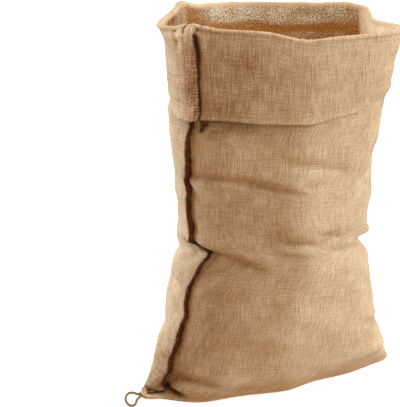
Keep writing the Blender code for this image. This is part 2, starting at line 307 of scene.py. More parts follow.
# On the cuff the turned cloth shows the seam's two raw edges, lying forward as a flap with its free edge off
# the cloth.  Where the flap's fold and its free edge run down the cuff, and how wide the gap beside it opens.
#   distance below the rim, fold round from the seam, free edge round from the seam, gap
FLAP_EDGES = (
    (0.0, -0.006, 0.008, 0.3), (0.012, -0.0048, 0.006, 0.4), (0.024, -0.004, 0.007, 0.9),
    (0.045, -0.0032, 0.0105, 0.95), (0.064, -0.0016, 0.013, 0.8), (0.075, -0.0002, 0.0143, 0.6),
    (0.095, 0.0006, 0.0158, 0.5), (0.113, 0.002, 0.017, 0.45), (0.13, 0.003, 0.0176, 0.45),
    (0.15, 0.008, 0.0192, 0.45), (0.166, 0.0115, 0.0205, 0.45), (0.18, 0.0115, 0.0205, 0.45),
)

# Section across the flap: shares of its width from its fold, at 0, to its free edge, at 1.  Before the fold
# a share is 10 mm, and past the edge it is 10 mm times the gap.
#   share, slide round the sack, distance outwards
FLAP = (
    (-6.5, 0.0, 0.0), (-5.0, 0.0, 0.0022), (-4.0, 0.0, 0.0048), (-3.0, 0.0, 0.0084), (-2.0, 0.0, 0.0124),
    (-1.0, 0.0, 0.0162), (-0.35, 0.0, 0.0186), (0.0, 0.0, 0.0196), (0.1, 0.0, 0.0182), (0.3, 0.0, 0.0156),
    (0.6, 0.0, 0.0126), (0.85, 0.0008, 0.0102), (0.95, 0.0014, 0.0088), (1.0, 0.0014, 0.0068),
    (1.06, 0.0006, 0.0036), (1.15, -0.0014, -0.001), (1.3, -0.0026, -0.005), (1.5, -0.0022, -0.0064),
    (1.8, -0.0008, -0.0056), (2.1, 0.0, -0.0028), (2.5, 0.0, -0.0008), (3.2, 0.0, 0.0),
)

# Short folds of the cuff by the seam's top: each a line of places, its half width, depth and how dark
# the shade painted along it is.
#   ((distance round from the seam, distance below the rim), ...), half width, depth, dark
PUCKERS = (
    (((0.006, -0.002), (-0.006, 0.001), (-0.01, 0.008), (-0.005, 0.018)), 0.002, 0.0045, 0.95),
    (((0.026, 0.0), (0.017, 0.006), (0.009, 0.016)), 0.0022, 0.004, 0.4),
    (((0.004, 0.002), (0.006, 0.01), (0.01, 0.026)), 0.0075, -0.005, 0.0),
    (((-0.03, 0.003), (-0.022, 0.018), (-0.012, 0.04)), 0.0045, 0.0045, 0.0),
    (((0.05, 0.004), (0.038, 0.02), (0.032, 0.05)), 0.008, 0.0025, 0.0),
)

# Tucks of the wall: at the bottom corner the slit under the left panel's rounded end and the crease in which
# the front panel is gathered beside it, and higher up the two sides of the kink where the seam doubles over.
# Each is drawn in, and painted with shade along its line.
#   ((distance round from the seam, height), ...), half width, depth, dark
TUCKS = (
    (((-0.022, 0.0098), (0.0, 0.01), (0.016, 0.0115), (0.034, 0.016)), 0.0056, 0.01, 1.0),
    (((0.012, 0.036), (0.024, 0.026), (0.047, 0.018), (0.085, 0.006)), 0.005, 0.011, 1.0),
    (((0.02, 0.033), (0.026, 0.026), (0.03, 0.02)), 0.007, 0.005, 1.0),
    (((0.002, 0.334), (0.01, 0.3315), (0.02, 0.329), (0.028, 0.324)), 0.0036, 0.003, 1.0),
    (((-0.022, 0.3325), (-0.013, 0.3275), (-0.008, 0.3242), (-0.001, 0.323), (0.008, 0.3215)),
     0.0042, 0.002, 1.0),
)

# Broad swells and hollows of the wall and of the cuff that are too big to be creases.
#   distance round from the seam, height, half width round, half height, distance outwards
WALL_SWELLS = (
    (0.11, 0.0, 0.06, 0.05, 0.027), (0.365, 0.0, 0.06, 0.04, -0.014), (0.55, 0.0, 0.03, 0.04, 0.011),
    (-0.028, 0.012, 0.02, 0.012, 0.006), (-0.08, 0.338, 0.05, 0.01, 0.005),
    (-0.08, 0.228, 0.055, 0.013, -0.007), (-0.06, 0.44, 0.045, 0.02, -0.003),
    (-0.02, 0.06, 0.03, 0.015, -0.004), (0.44, 0.33, 0.05, 0.008, 0.014), (0.44, 0.283, 0.05, 0.013, 0.006),
    (0.44, 0.16, 0.05, 0.017, 0.009), (0.46, 0.064, 0.05, 0.018, 0.013), (0.44, 0.495, 0.05, 0.02, -0.005),
    (0.44, 0.41, 0.05, 0.02, 0.004), (0.5, 0.058, 0.04, 0.018, 0.0045), (0.52, 0.034, 0.035, 0.012, 0.006),
    (0.48, 0.112, 0.05, 0.014, -0.004), (0.544, 0.004, 0.025, 0.012, -0.006),
    (-0.105, 0.582, 0.07, 0.018, 0.005),
)
CUFF_SWELLS = (
    (-0.1, 0.716, 0.07, 0.022, -0.005), (-0.105, 0.61, 0.07, 0.012, 0.004),
    (0.44, 0.68, 0.06, 0.02, -0.006), (0.44, 0.626, 0.06, 0.014, 0.006),
)


def column(table, at, col):
    """One column of a table at any place: a smooth curve through its rows that never overshoots them."""
    x = np.array([row[0] for row in table])
    y = np.array([row[col] for row in table])
    step = np.diff(y) / np.diff(x)
    slope = np.zeros(len(x))
    same = step[1:] * step[:-1] > 0.0
    slope[1:-1][same] = 2.0 * step[1:][same] * step[:-1][same] / (step[1:][same] + step[:-1][same])
    at = np.clip(at, x[0], x[-1])
    k = np.clip(np.searchsorted(x, at) - 1, 0, len(x) - 2)
    h = x[k + 1] - x[k]
    s = (at - x[k]) / h
    return cubic(s, y[k], y[k + 1], slope[k], slope[k + 1], h)


def soft(x):
    """0 below 0, 1 above 1, and a smooth ramp between."""
    x = np.clip(x, 0.0, 1.0)
    return x * x * (3.0 - 2.0 * x)


def rise(x, start, width):
    """0 up to the start, 1 from a width past it, and a smooth ramp between."""
    return soft((x - start) / width)


def fall(x, end, width):
    """1 up to a width short of the end, 0 past it, and a smooth ramp between."""
    return soft((end - x) / width)


PLAN_STEP = 0.004  # height between the worked out plans
PLAN_COLUMNS = 768
plan_u = np.arange(PLAN_COLUMNS + 1) / PLAN_COLUMNS


def ring(height):
    """Plan of the wall at one height: a superellipse, longer towards the front, turned, and read off at even
    shares of its length from the side seam."""
    mid_x, mid_y, half, front, back, turn, square, longer = (column(WALL, height, c) for c in range(1, 9))
    t = np.linspace(0.0, 2.0 * np.pi, 1441)
    p = -np.sign(np.cos(t)) * np.abs(np.cos(t)) ** (2.0 / square) * half
    q = -np.sign(np.sin(t)) * np.abs(np.sin(t)) ** (2.0 / square)
    p = p * (1.0 - longer * q)
    q = np.where(q < 0.0, q * front, q * back)
    a = np.radians(turn)
    x, y = p * np.cos(a) - q * np.sin(a), p * np.sin(a) + q * np.cos(a)
    run = np.concatenate(([0.0], np.cumsum(np.hypot(np.diff(x), np.diff(y)))))
    bearing = np.degrees(np.unwrap(np.arctan2(-y, -x)))
    at = (np.interp(column(SEAM, height, 1), bearing, run) + plan_u * run[-1]) % run[-1]
    return mid_x + np.interp(at, run, x), mid_y + np.interp(at, run, y)


plans = np.array([ring(h) for h in np.arange(0.0, 0.7681, PLAN_STEP)])
slope_x, slope_y = (np.roll(plans[:, k, :-1], -3, 1) - np.roll(plans[:, k, :-1], 3, 1) for k in (0, 1))
steep = np.hypot(slope_x, slope_y)
plans = np.concatenate((plans, [[np.append(a, a[0]), np.append(b, b[0])]
                                for a, b in zip(slope_y / steep, -slope_x / steep)]), 1)


def wall_at(u, z, out=0.0):
    """Places on the wall at shares u and heights z, moved outwards: the worked out plans, read between."""
    u = np.mod(u, 1.0) * PLAN_COLUMNS
    h = np.clip(z / PLAN_STEP, 0.0, len(plans) - 1.001)
    i, j = u.astype(int), h.astype(int)
    fu, fh = u - i, h - j
    x, y, nx, ny = (plans[j, k, i] * (1 - fu) * (1 - fh) + plans[j, k, i + 1] * fu * (1 - fh)
                    + plans[j + 1, k, i] * (1 - fu) * fh + plans[j + 1, k, i + 1] * fu * fh for k in range(4))
    return np.stack((x + nx * out, y + ny * out, z), -1)


def from_seam(u):
    """Distance along the cloth from the side seam, negative behind it."""
    return ((u + 0.5) % 1.0 - 0.5) * AROUND


def creases(u, z, table, spread=1.0):
    """How far out of its even surface each crease moves the cloth: a trough along the line, and a step whose
    upper side hangs over the lower, both fading to the crease's ends.  With a spread above 1 each is a plain
    trough, that much wider, which the creased layer stays clear of."""
    total = np.zeros_like(u + z)
    for u0, z0, u1, z1, depth, width, hang in table:
        run_u, run_z = (u1 - u0) * AROUND, z1 - z0
        length = np.hypot(run_u, run_z)
        du, dz = from_seam(u - (u0 + u1) / 2.0), z - (z0 + z1) / 2.0
        along = (du * run_u + dz * run_z) / length
        d = (dz * run_u - du * run_z) / length / (width * spread)
        fade = soft((length / 2.0 - np.abs(along)) / (0.35 * length) + 0.5)
        if spread > 1.0:
            total -= depth * fade * np.exp(-d * d)
        else:
            trough = -np.exp(-d * d) * (1.0 - 0.5 * hang)
            total += depth * fade * (trough + np.tanh(1.6 * d) * np.exp(-np.abs(d) / 2.2) * hang)
    return total


def ridge(u, z):
    """The soft ridges up the cloth: each a bell across it, of its own rise and width at each height."""
    total = np.zeros_like(u + z)
    for table in (FRONT_RIDGE, BACK_LEFT_PINCH, BACK_RIGHT_PINCH):
        place, height, width = (column(table, z, c) for c in (1, 2, 3))
        total += height * np.exp(-(from_seam(u - place / AROUND) / width) ** 2)
    return total


def rumple(u, z, cell_u, cell_z, seed):
    """Smooth uneven heights from -1 to 1: seeded values at the corners of cells of the given size round and
    up the cloth, joined by smooth ramps and closed round the tube."""
    nu, nz = int(round(AROUND / cell_u)), int(1.3 / cell_z) + 2
    values = np.random.default_rng(seed).uniform(-1.0, 1.0, (nz, nu))
    a, b = np.mod(u, 1.0) * nu, (z + 0.2) / cell_z
    i, j = a.astype(int), b.astype(int)
    fa, fb = soft(a - i), soft(b - j)
    i1 = (i + 1) % nu
    i = i % nu
    return ((values[j, i] * (1 - fa) + values[j, i1] * fa) * (1 - fb)
            + (values[j + 1, i] * (1 - fa) + values[j + 1, i1] * fa) * fb)


def unevenness(u, z):
    """The cloth's own unevenness: broad soft swells, shorter dents, and small wrinkles that lie flat."""
    return (0.0022 * rumple(u, z, 0.13, 0.10, 3) + 0.0011 * rumple(u + 0.3, z, 0.06, 0.035, 5)
            + 0.0004 * rumple(u, z, 0.030, 0.012, 8))


def wiggle(z, seed):
    """How far the seam's hand-turned edge wanders round the sack at each height."""
    u = 0.0 * z + 0.5
    return 0.0013 * rumple(u, z, 0.3, 0.017, seed) + 0.0009 * rumple(u, z, 0.3, 0.008, seed + 1)


def columns_round():
    """Grid places round the sack: 1.2 mm apart beside the side seam, 2.7 mm further off and even elsewhere,
    the same both ways round."""
    near = np.arange(0, 31) * 0.0012 / AROUND
    mid = near[-1] + np.arange(1, 9) * 0.0027 / AROUND
    half = np.concatenate((near, mid, np.linspace(mid[-1], 0.5, 107)[1:]))
    return np.concatenate((half, 1.0 - half[-2:0:-1]))


def groove_place(u, z):
    """Distance round from the seam's lip, which wanders and is carried round at the bottom; on the open side
    it is shrunk by how wide the groove opens, so one section fits all."""
    s = from_seam(u) + 0.0 * z - column(SEAM, z, 3) - wiggle(z, 21) * soft(z / 0.08)
    return np.where(s > 0.0, s / column(SEAM, z, 2), s)


def flap_place(u, below):
    """Place across the flap, whose fold and free edge wander: 0 at the fold and 1 at the edge."""
    fold, edge, gap = (column(FLAP_EDGES, below, c) for c in (1, 2, 3))
    fold, edge = fold + 0.7 * wiggle(below, 33), edge + 0.7 * wiggle(below, 31)
    s = from_seam(u) + 0.0 * below
    return np.where(s < fold, (s - fold) / 0.010,
                    np.where(s < edge, (s - fold) / (edge - fold), 1.0 + (s - edge) / (0.010 * gap)))


def patches(u, z, table):
    """Sum of soft patches, each a bell round and up the sack times its amount: how far the swells move the
    cloth outwards, or how brown it is painted for shade."""
    return sum(amount * np.exp(-(from_seam(u - s0 / AROUND) / wide) ** 2 - ((z - z0) / high) ** 2)
               for s0, z0, wide, high, amount in table)


def beside_line(s, t, line, width):
    """A bell of the distance from a line of places: 1 on it, fading over the width and towards its ends."""
    best = np.zeros(np.broadcast(s, t).shape)
    for k, ((s0, t0), (s1, t1)) in enumerate(zip(line[:-1], line[1:])):
        ds, dt = s1 - s0, t1 - t0
        along = np.clip(((s - s0) * ds + (t - t0) * dt) / (ds * ds + dt * dt), 0.0, 1.0)
        share = (k + along) / (len(line) - 1)
        ends = 0.3 + 0.7 * soft(share / 0.2) * fall(share, 1.0, 0.2)
        gone = np.hypot(s - s0 - along * ds, t - t0 - along * dt)
        best = np.maximum(best, ends * np.exp(-(gone / width) ** 2))
    return best


def drawn_in(s, t, table):
    """How far the cloth is drawn in along a table's lines: each line's bell times its depth."""
    return sum(depth * beside_line(s, t, line, width) for line, width, depth, dark in table)


def darkest(s, t, table):
    """The darkest painted shade of a table's lines at each place: each line's bell times how dark it is."""
    return np.max([dark * beside_line(s, t, line, width) for line, width, depth, dark in table], 0)


def corner_clear(u, z):
    """How far the cloth's inner side keeps back from the bottom corner, where the outer one is tucked."""
    s = from_seam(u)
    return CORNER_CLEAR * rise(s, -0.080, 0.030) * fall(s, 0.130, 0.030) * fall(z, 0.085, 0.030)


def floor_part(u, shares, clear=0.0):
    """Rows of the cloth on the floor: straight from the bottom seam's line out to the foot of the wall."""
    foot = wall_at(u, 0.0 * u, patches(u, 0.0 * u, WALL_SWELLS) - clear * corner_clear(u, 0.0 * u))
    k = int(np.argmin(np.abs(u - 0.5)))
    line = foot[0] + (foot[k] - foot[0]) * (1.0 - np.abs(1.0 - 2.0 * u))[:, None]
    return line + (foot - line) * np.asarray(shares)[:, None, None]


def wall_part(u, heights, spread=1.0):
    """Rows of the wall, with its creases, its unevenness and the seam's section.  With a spread above 1 they
    are the cloth's inner side, which keeps a little clear of the outer one's creases."""
    h = np.asarray(heights)[:, None] + 0.0 * u
    z = h + rim_lift * rise(h, 0.50, 0.24)
    free = rise(h, 0.012, 0.03)
    s = groove_place(u, z)
    grip = rise(z, 0.008, 0.014) * fall(z, 0.640, 0.04) * (0.25 + 0.75 * column(SEAM, z, 2))
    low = fall(h, 0.60, 0.05)
    out = ((creases(u, z, FOLDS, spread) + unevenness(u, z)) * low + ridge(u, z)) * free
    follow = INNER_GROOVE if spread > 1.0 else 1.0
    out += column(GROOVE, s, 2) * grip * follow + patches(u, z, WALL_SWELLS)
    out -= drawn_in(from_seam(u), z, TUCKS)
    if spread > 1.0:
        out -= (INNER_CLEAR + SEAM_CLEAR * np.exp(-((from_seam(u) - 0.008) / 0.020) ** 2)) * low * free
        out -= corner_clear(u, z)
    return wall_at(u + column(GROOVE, s, 1) * grip / AROUND, z, out)


def rim_part(u, degrees):
    """Rows over the turn at the rim: a half circle standing on the top of the wall."""
    a = np.radians(np.asarray(degrees))[:, None] + 0.0 * u
    top = WALL_TOP + 0.0 * a
    below = ROLL * (1.0 - np.sin(a))
    place = wall_at(u + 0.0 * a, top, ROLL * (1.0 - np.cos(a)) + ridge(u, top))
    place[..., 2] = rim_z - below - drawn_in(from_seam(u), below, PUCKERS) * soft(a / 2.0)
    return place


def cuff_part(u, shares):
    """Rows of the cuff down the outside of the wall, with the seam's flap and the cloth's unevenness.  On the
    right and on the left face its lower part lies close to the wall."""
    share = np.asarray(shares)[:, None] + 0.0 * u
    z = (rim_z - 0.008) * (1.0 - share) + cuff_z * share
    below = rim_z - z
    s = flap_place(u, below)
    grip = soft(below / 0.024 + 0.10)
    open_by = np.clip((column(FLAP_EDGES, below, 3) - 0.35) / 0.55, 0.0, 1.0)
    section = column(FLAP, s, 2)
    section = np.where(section < 0.0, section * open_by, section)
    tuck = np.maximum(0.92 * rise(share, 0.40, 0.5) * np.exp(-((from_seam(u) - 0.42) / 0.185) ** 4),
                      0.92 * rise(share, 0.60, 0.35) * np.exp(-((from_seam(u) + 0.105) / 0.072) ** 4))
    uneven = 0.7 * unevenness(u, z) * soft(share / 0.15)
    out = ((CUFF_OFF + EDGE_OFF * share) * (1.0 - tuck) + section * grip
           + uneven * (1.0 - tuck) + ridge(u, z) + patches(u, z, CUFF_SWELLS))
    out += HEM * rise(share, 0.955, 0.045) * (1.0 - tuck) - HEM * rise(share, 0.75, 0.25) * tuck
    out -= drawn_in(from_seam(u), below, PUCKERS)
    return wall_at(u + column(FLAP, s, 1) * grip / AROUND, z, out)


def normals_of(grid):
    """Unit normals of a grid of points closed round its rows, out of the wall."""
    du = np.roll(grid, -1, 1) - np.roll(grid, 1, 1)
    dv = np.gradient(grid, axis=0)
    n = np.cross(du, dv)
    return n / np.maximum(np.linalg.norm(n, axis=-1, keepdims=True), 1e-12)


round_u = columns_round()
rim_lift = column(MOUTH, round_u, 1)
rim_z = RIM_HEIGHT + rim_lift
cuff_z = column(MOUTH, round_u, 2)

# Rows up the cloth.  The outer side is fine on the wall and coarse under the cuff, and the inner side, whose
# end past the rim is the cuff's outside, is coarse low in the sack and fine on the cuff.
OUTER_FLOOR_ROWS, INNER_FLOOR_ROWS = 4, 2
outer_heights = np.concatenate((np.arange(0.0, 0.05, 0.0022), np.arange(0.05, 0.592, 0.0037),
                                np.linspace(0.600, 0.736, 8)))
outer = np.concatenate((floor_part(round_u, np.arange(OUTER_FLOOR_ROWS) / OUTER_FLOOR_ROWS),
                        wall_part(round_u, outer_heights), rim_part(round_u, (25, 65, 90, 115, 155)),
                        cuff_part(round_u, np.linspace(0.0, 1.0, 12))))
inner_low = np.concatenate((np.linspace(0.0, 0.27, 11), np.arange(0.278, 0.362, 0.008),
                            np.arange(0.376, 0.600, 0.016)))
inner_high = np.arange(0.606, 0.740, 0.0042)
cuff_shares = np.concatenate((np.linspace(0.0, 0.24, 18), np.linspace(0.265, 1.0, 34)))
inner = np.concatenate((floor_part(round_u, np.arange(INNER_FLOOR_ROWS) / INNER_FLOOR_ROWS, 1.0),
                        wall_part(round_u, inner_low, INNER_SPREAD), wall_part(round_u, inner_high),
                        rim_part(round_u, np.linspace(12, 168, 11)), cuff_part(round_u, cuff_shares)))
wall_rows = slice(OUTER_FLOOR_ROWS, OUTER_FLOOR_ROWS + len(outer_heights))
outer_face = outer + normals_of(outer) * CLOTH / 2.0
inner_face = inner - normals_of(inner) * CLOTH / 2.0
cloth = np.concatenate((outer_face, inner_face[::-1]))
to_part = np.array((*CENTRE, -CLOTH / 2.0))  # what the tables' places stand off the part's, on its floor


def lengths_up(grid):
    """Mean distance along the cloth from the bottom seam to each row of a grid."""
    step = np.linalg.norm(np.diff(grid, axis=0), axis=-1).mean(1)
    return np.concatenate(([0.0], np.cumsum(step)))


# Both floors' first rows lie on the bottom seam, where the front and the back share their points.
rows, around = cloth.shape[:2]
half = around // 2
index = np.arange(rows * around)
index[half + 1:around] = index[half - 1:0:-1]
last = (rows - 1) * around
index[last + half + 1:] = index[last + half - 1:last:-1]
used, packed = np.unique(index[ring_faces(rows, around)], return_inverse=True)
faces = packed.reshape(-1, 4)
points = (cloth.reshape(-1, 3) - to_part)[used]


def corner_values(values):
    """A value for each face corner of the cloth from the grid, so that a map can break at the seam."""
    b = np.roll(values, -1, 1)
    return np.stack((values[:-1], b[:-1], b[1:], values[1:]), -1).reshape(-1, 4)


cloth_v = np.concatenate((lengths_up(outer), lengths_up(inner)[::-1]))
corner_u = corner_values(np.broadcast_to(round_u, (rows, around)))
corner_u = np.where((corner_u == 0.0) & (corner_u.max(1, keepdims=True) > 0.9), 1.0, corner_u)
corner_v = corner_values(np.broadcast_to(cloth_v[:, None], (rows, around)))

YARN_PITCH = 0.0044  # spacing of the drawn yarns: twice the real 2.2 mm, which is too fine to show
SLUB_LONG, SLUB_WIDE = 30.0, 260.0  # turns of the slub noise a metre: along a yarn, and across it
JUTE_DARK, JUTE_PALE, JUTE_SHADE_BROWN, JUTE_PAINTED_SHADE = "#AB8459", "#F2D7B3", "#7E481A", "#4E1E03"
# The single wall with daylight behind it: between its yarns, its yarns where the weave is close and where it
# is open, and its holes.  Below, the light that each lets through, and that of the inside in the sun.
BACKLIT_SHADE, BACKLIT_CLOSE, BACKLIT_OPEN, DAYLIGHT = "#4E3414", "#A86C36", "#BC9C76", "#DCCFB8"
NO_GLOW, CLOSE_GLOW, OPEN_GLOW, HOLE_GLOW, SUNLIT_GLOW = "#000000", "#60421C", "#5C4A30", "#706A5E", "#8C7A60"


def woven_jute():
    """Hessian: plain woven jute yarn, uneven and hairy, dull, with small open holes between the yarns."""
    mat, tree, shader = finish_of("woven_jute_hessian", {
        "Roughness": 0.92, "Specular IOR Level": 0.12, "Sheen Weight": 0.03, "Sheen Roughness": 0.5,
        "Emission Strength": 1.0})
    metres = add(tree, "UVMap", uv_map="cloth_metres")
    # the yarns' lines wander by a few millimetres, in patches of 25 mm
    drift = add(tree, "TexNoise", {"Vector": metres, "Scale": 40.0, "Detail": 3.0}, out=1)
    drift = add(tree, "VectorMath", (drift, (0.5, 0.5, 0.5)), operation="SUBTRACT")
    drift = add(tree, "VectorMath", {0: drift, "Scale": 0.012}, operation="SCALE")
    place = add(tree, "VectorMath", (metres, drift), operation="ADD")
    # warp and weft: ridges a yarn apart both ways, each on top at every other crossing
    split = add(tree, "SeparateXYZ", (place,)).node.outputs
    yarn = [add(tree, "Math", (split[k], np.pi / YARN_PITCH), operation="MULTIPLY") for k in (0, 1)]
    wave = [add(tree, "Math", (y,), operation="SINE") for y in yarn]
    ridges = [add(tree, "Math", (w,), operation="ABSOLUTE") for w in wave]
    over = add(tree, "Math", (wave[0], wave[1]), operation="MULTIPLY")
    warp_top = add(tree, "Math", (over, 0.35, ridges[0]), operation="MULTIPLY_ADD")
    weft_top = add(tree, "Math", (over, -0.35, ridges[1]), operation="MULTIPLY_ADD")
    weave = add(tree, "Math", (warp_top, weft_top), operation="MAXIMUM")
    # slubs: thick and thin stretches of single yarns, long along the yarn and one yarn across
    slubs = []
    for stretch in ((SLUB_LONG, SLUB_WIDE, 1.0), (SLUB_WIDE, SLUB_LONG, 1.0)):
        at = add(tree, "VectorMath", (metres, stretch), operation="MULTIPLY")
        slubs.append(add(tree, "TexNoise", {"Vector": at, "Scale": 1.0, "Detail": 2.0, "Roughness": 0.5}))
    slub = add(tree, "Math", (slubs[1], 1.6, slubs[0]), operation="MULTIPLY_ADD")
    # flecks of 3 mm and clouds of 40 mm, and from them all how pale the cloth is
    fleck = add(tree, "TexNoise", {"Vector": metres, "Scale": 330.0, "Detail": 2.0, "Roughness": 0.7})
    cloud = add(tree, "TexNoise", {"Vector": metres, "Scale": 24.0, "Detail": 3.0})
    tone = -0.42
    for part, share in ((slub, 0.53), (fleck, 1.07), (weave, 0.16), (cloud, 0.55)):
        tone = add(tree, "Math", (part, share, tone), operation="MULTIPLY_ADD")
    tone = add(tree, "Math", (tone, 0.715), operation="SUBTRACT", use_clamp=True)
    colour = add(tree, "MixRGB", (tone, JUTE_DARK, JUTE_PALE))
    brown, open_by, backlit, sunlit, painted_shade = (
        add(tree, "Attribute", attribute_name=name, out=2)
        for name in ("painted_brown_shade", "open_weave", "backlit", "sunlit", "painted_shade"))
    # painted shade as browner cloth, the more where its yarn is dark already
    deeper = add(tree, "Math", (tone, -1.2, 1.50), operation="MULTIPLY_ADD")
    brown = add(tree, "Math", (brown, deeper), operation="MULTIPLY", use_clamp=True)
    colour = add(tree, "MixRGB", (brown, colour, JUTE_SHADE_BROWN))
    # inside the mouth daylight comes through the single wall: its holes show white and its yarns glow brown
    tall = add(tree, "VectorMath", (metres, (1.0, 0.55, 1.0)), operation="MULTIPLY")
    holes = add(tree, "TexNoise", {"Vector": tall, "Scale": 430.0, "Detail": 1.0})
    for part, share in ((slub, 0.20), (cloud, 0.35), (open_by, 0.22)):
        holes = add(tree, "Math", (part, share, holes), operation="MULTIPLY_ADD")
    holes = add(tree, "MapRange", {"Value": holes, "From Min": 1.12, "From Max": 1.32})
    thick = add(tree, "MapRange", {"Value": fleck, "From Min": 0.36, "From Max": 0.50})
    yarns = add(tree, "MixRGB", (open_by, BACKLIT_CLOSE, BACKLIT_OPEN))
    shade = add(tree, "MixRGB", (thick, BACKLIT_SHADE, yarns))
    through = add(tree, "MixRGB", (holes, shade, DAYLIGHT))
    colour = add(tree, "MixRGB", (backlit, colour, through))
    glow = add(tree, "MixRGB", (open_by, CLOSE_GLOW, OPEN_GLOW))
    glow = add(tree, "MixRGB", (thick, NO_GLOW, glow))
    glow = add(tree, "MixRGB", (holes, glow, HOLE_GLOW))
    sunlit = add(tree, "MixRGB", (sunlit, NO_GLOW, SUNLIT_GLOW))
    glow = add(tree, "MixRGB", (backlit, sunlit, glow))
    # painted shade: near black in the seam's groove, the flap's gap, the tucks, the puckers and under the
    # cuff
    colour = add(tree, "MixRGB", (painted_shade, colour, JUTE_PAINTED_SHADE))
    bump = add(tree, "Bump", {"Height": weave, "Strength": 0.5, "Distance": 0.0006})
    bump = add(tree, "Bump", {"Height": slub, "Strength": 0.5, "Distance": 0.0012, "Normal": bump})
    bump = add(tree, "Bump", {"Height": fleck, "Strength": 0.5, "Distance": 0.0010, "Normal": bump})
    for socket, name in ((colour, "Base Color"), (glow, "Emission Color"), (bump, "Normal")):
        tree.links.new(socket, shader.inputs[name])
    return mat


def lay_weave(obj, along, across):
    """Gives each face corner of a piece its place on the flat cloth, in metres."""
    layer = obj.data.uv_layers.new(name="cloth_metres")
    layer.data.foreach_set("uv", np.stack((along, across), -1).astype(np.float32).ravel())


jute = woven_jute()
sack = piece("jute_sack_cloth", points, faces, jute, "woven_jute")
lay_weave(sack, corner_u * AROUND, corner_v)

# Painted shade on the outside: soft patches where the cloth is coloured browner for the shade of the unlit
# front, its creases and hollows.
#   distance round from the seam, height, half width round, half height, how brown
PAINTED_BROWN_SHADE = (
    (0.085, 0.665, 0.105, 0.085, 0.41), (0.07, 0.59, 0.075, 0.028, 0.2), (0.01, 0.6, 0.012, 0.03, 0.08),
    (0.095, 0.64, 0.08, 0.06, 0.08), (0.07, 0.56, 0.08, 0.016, 0.32), (0.085, 0.36, 0.11, 0.17, 0.24),
    (0.165, 0.45, 0.045, 0.011, 0.3), (0.05, 0.461, 0.08, 0.008, 0.3), (0.06, 0.13, 0.08, 0.11, 0.22),
    (0.11, 0.69, 0.03, 0.025, 0.25), (0.21, 0.34, 0.035, 0.012, 0.22), (0.29, 0.352, 0.028, 0.012, 0.14),
    (0.055, 0.282, 0.065, 0.018, 0.24), (0.137, 0.402, 0.024, 0.012, 0.24), (0.01, 0.03, 0.03, 0.02, 0.45),
    (0.045, 0.046, 0.04, 0.011, 0.5), (0.13, 0.02, 0.09, 0.014, 0.25), (-0.018, 0.085, 0.045, 0.06, 0.58),
    (-0.03, 0.24, 0.05, 0.05, 0.24),
)
# The same painted shade inside the mouth, in the pocket of its left corner.
INNER_POCKET_SHADE = ((-0.143, 0.738, 0.055, 0.030, 1.00), (-0.195, 0.738, 0.012, 0.030, 0.45))


# Values that the cloth's colours read: painted shade, as browner jute; painted shade, near black, in the
# seam's groove, the flap's gap, the tucks and under the cuff; the single wall inside the mouth with daylight
# behind it, and how open its weave stands there; and the inside that the sun falls on.
row = np.arange(rows)[:, None]
row_in = rows - 1 - row  # the same row counted on the inner side, from the bottom seam
inside_rows = INNER_FLOOR_ROWS + len(inner_low) + len(inner_high)
on_wall = (row >= wall_rows.start) & (row < wall_rows.stop)
inside = (row_in >= INNER_FLOOR_ROWS) & (row_in < inside_rows)
on_cuff = (row_in >= inside_rows + 5) & (row_in < len(inner))
height = cloth[..., 2]
below_rim = rim_z - height
s_grid = from_seam(round_u) + 0.0 * height
# The back wall inside the mouth: its weave is open in a band under the rim, then closer, and again half open.
back_wall = fall(s_grid, -0.202, 0.016) * rise(s_grid, -0.581, 0.008)
backlit = inside * back_wall * rise(below_rim, 0.007, 0.003) * fall(below_rim, 0.130, 0.04)
along = below_rim + 0.006 * rumple(round_u, height, 0.05, 0.02, 61) + 0.003 * rise(s_grid, -0.270, 0.04)
open_weave = (fall(along, 0.047, 0.010) + 0.62 * rise(along, 0.055, 0.008)
              - 0.55 * fall(s_grid, -0.540, 0.02)
              - 0.98 * rise(s_grid, -0.285, 0.06) + 0.25 * rumple(round_u, height, 0.035, 0.014, 62))
# The inside's right end and the rim behind, in the sun.
right_end = np.maximum(rise(s_grid, 0.430, 0.06), fall(s_grid, -0.573, 0.008))
sunlit = inside * rise(below_rim, 0.004, 0.004) * right_end
back_rim = (row_in >= inside_rows - 4) & (row_in < inside_rows + 9)
behind = np.maximum(fall(s_grid, -0.210, 0.02), rise(s_grid, 0.56, 0.01))
sunlit = np.maximum(sunlit, 0.30 * back_rim * behind)
# Painted shade in the groove past the seam's lip, wider at the kink and ragged on its far side, and painted
# shadow under the cuff.
lip = groove_place(round_u, height)
ragged = (0.0022 * rumple(round_u, height, 0.004, 0.006, 63)
          + 0.0018 * rumple(round_u, height, 0.1, 0.02, 64))
kink = np.exp(-((height - 0.329) / 0.008) ** 2)
groove = soft((lip + 0.0026 + 0.0020 * kink) / 0.0014) * rise(height, 0.012, 0.01)
groove = groove * soft((0.0095 + 0.0030 * kink + ragged - lip) / 0.0060)
under_cuff = soft((height - cuff_z + 0.009) / 0.008) * rise(s_grid, 0.005, 0.01) * fall(s_grid, 0.150, 0.06)
# Painted shade in the gap past the flap's free edge and in the puckers, on the cuff, and in the tucks, on the
# wall.
edge = flap_place(round_u, below_rim)
gap = rise(edge, 0.88, 0.10) * fall(edge, 2.3, 0.8) * rise(below_rim, 0.011, 0.007)
gap = np.maximum(gap, darkest(s_grid, below_rim, PUCKERS))
painted_shade = np.maximum(groove, 0.62 * under_cuff)
painted_shade = np.maximum(painted_shade, darkest(s_grid, height, TUCKS)) * on_wall
painted_shade = 0.96 * np.maximum(painted_shade, on_cuff * gap)
# painted shade on the inside of the back wall, towards its left corner
painted_shade = painted_shade + 0.30 * inside * back_wall * rise(s_grid, -0.310, 0.07)
